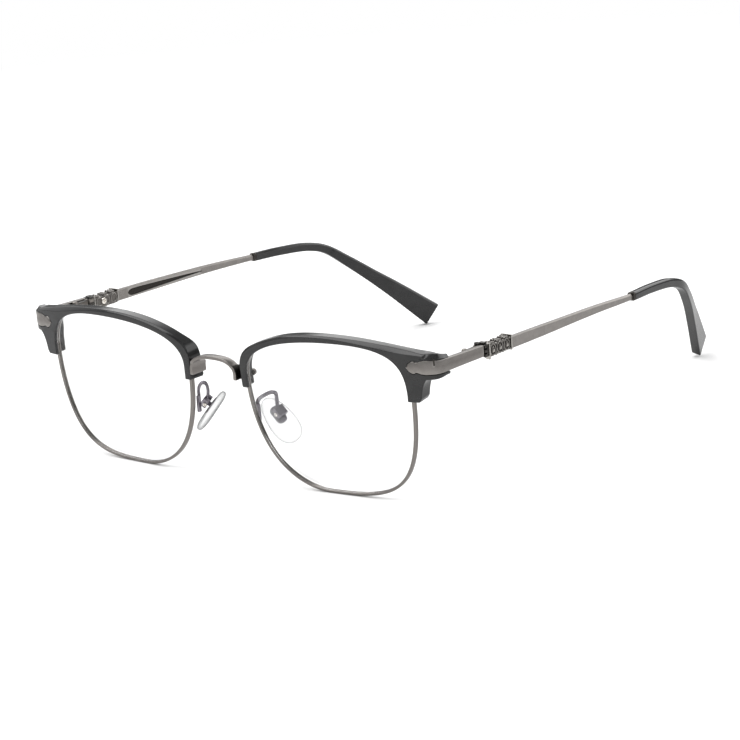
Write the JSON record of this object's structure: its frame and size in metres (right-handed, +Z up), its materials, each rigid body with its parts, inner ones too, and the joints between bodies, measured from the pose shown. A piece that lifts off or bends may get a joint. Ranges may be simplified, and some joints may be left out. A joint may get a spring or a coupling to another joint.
{
  "type": "eyeglasses",
  "caption": "Browline eyeglasses: thin metal rims with black brows over them, metal bridge and end pieces, nose pads on wires, and folding temples with carved sleeves and black tips.",
  "frame": {"origin": "on the table plane, on the symmetry plane, under the middle of the whole object with its temples open", "axes": "+X to the wearer's left, -Y out of the front, +Y along the open temples, +Z up; z = 0 is the table under the rims and temple tips"},
  "size_m": [0.14, 0.1637, 0.0437],
  "materials": {
    "black_acetate": "polished, with satin front faces",
    "gunmetal": "satin gunmetal plating",
    "dark_steel": "oxidised",
    "brass": "bright screw heads",
    "clear_lens": "polished, clear",
    "clear_silicone": "clear, slightly frosted"
  },
  "bodies": {
    "front": {"bridge": "gunmetal", "left_brow": "black_acetate", "left_rim": "gunmetal", "left_lens": "clear_lens", "left_closing_block_lower": "gunmetal", "left_closing_block_upper": "gunmetal", "left_closing_screw": "dark_steel", "left_brow_rivet": "gunmetal", "left_brow_screw": "gunmetal", "left_end_piece": "gunmetal", "left_pad_arm": "gunmetal", "left_pad_box": "gunmetal", "left_pad_screw": "brass", "left_hinge_front_leaf": "gunmetal", "left_hinge_screw": "dark_steel", "right_brow": "black_acetate", "right_rim": "gunmetal", "right_lens": "clear_lens", "right_closing_block_lower": "gunmetal", "right_closing_block_upper": "gunmetal", "right_closing_screw": "dark_steel", "right_brow_rivet": "gunmetal", "right_brow_screw": "gunmetal", "right_end_piece": "gunmetal", "right_pad_arm": "gunmetal", "right_pad_box": "gunmetal", "right_pad_screw": "brass", "right_hinge_front_leaf": "gunmetal", "right_hinge_screw": "dark_steel"},
    "left_temple": {"left_hinge_temple_leaf": "gunmetal", "left_ornament": "dark_steel", "left_ornament_screw": "brass", "left_temple_bar": "gunmetal", "left_tip_collar": "dark_steel", "left_temple_tip": "black_acetate"},
    "right_temple": {"right_hinge_temple_leaf": "gunmetal", "right_ornament": "dark_steel", "right_ornament_screw": "brass", "right_temple_bar": "gunmetal", "right_tip_collar": "dark_steel", "right_temple_tip": "black_acetate"},
    "left_pad": {"left_nose_pad": "clear_silicone", "left_pad_insert": "gunmetal"},
    "right_pad": {"right_nose_pad": "clear_silicone", "right_pad_insert": "gunmetal"}
  },
  "joints": [
    {"name": "left_temple_fold", "type": "hinge", "parent": "front", "child": "left_temple", "pos_m": [0.0669, -0.05475, 0.0367], "axis": [0, 0, 1], "range_deg": [0, 90]},
    {"name": "right_temple_fold", "type": "hinge", "parent": "front", "child": "right_temple", "pos_m": [-0.0669, -0.05475, 0.0367], "axis": [0, 0, -1], "range_deg": [0, 86]},
    {"name": "left_pad_rock", "type": "hinge", "parent": "front", "child": "left_pad", "pos_m": [0.01264, -0.07036, 0.01825], "axis": [0.2459, 0.9382, 0.2435], "range_deg": [-10, 10]},
    {"name": "right_pad_rock", "type": "hinge", "parent": "front", "child": "right_pad", "pos_m": [-0.01264, -0.07036, 0.01825], "axis": [0.2459, -0.9382, -0.2435], "range_deg": [-10, 10]}
  ]
}
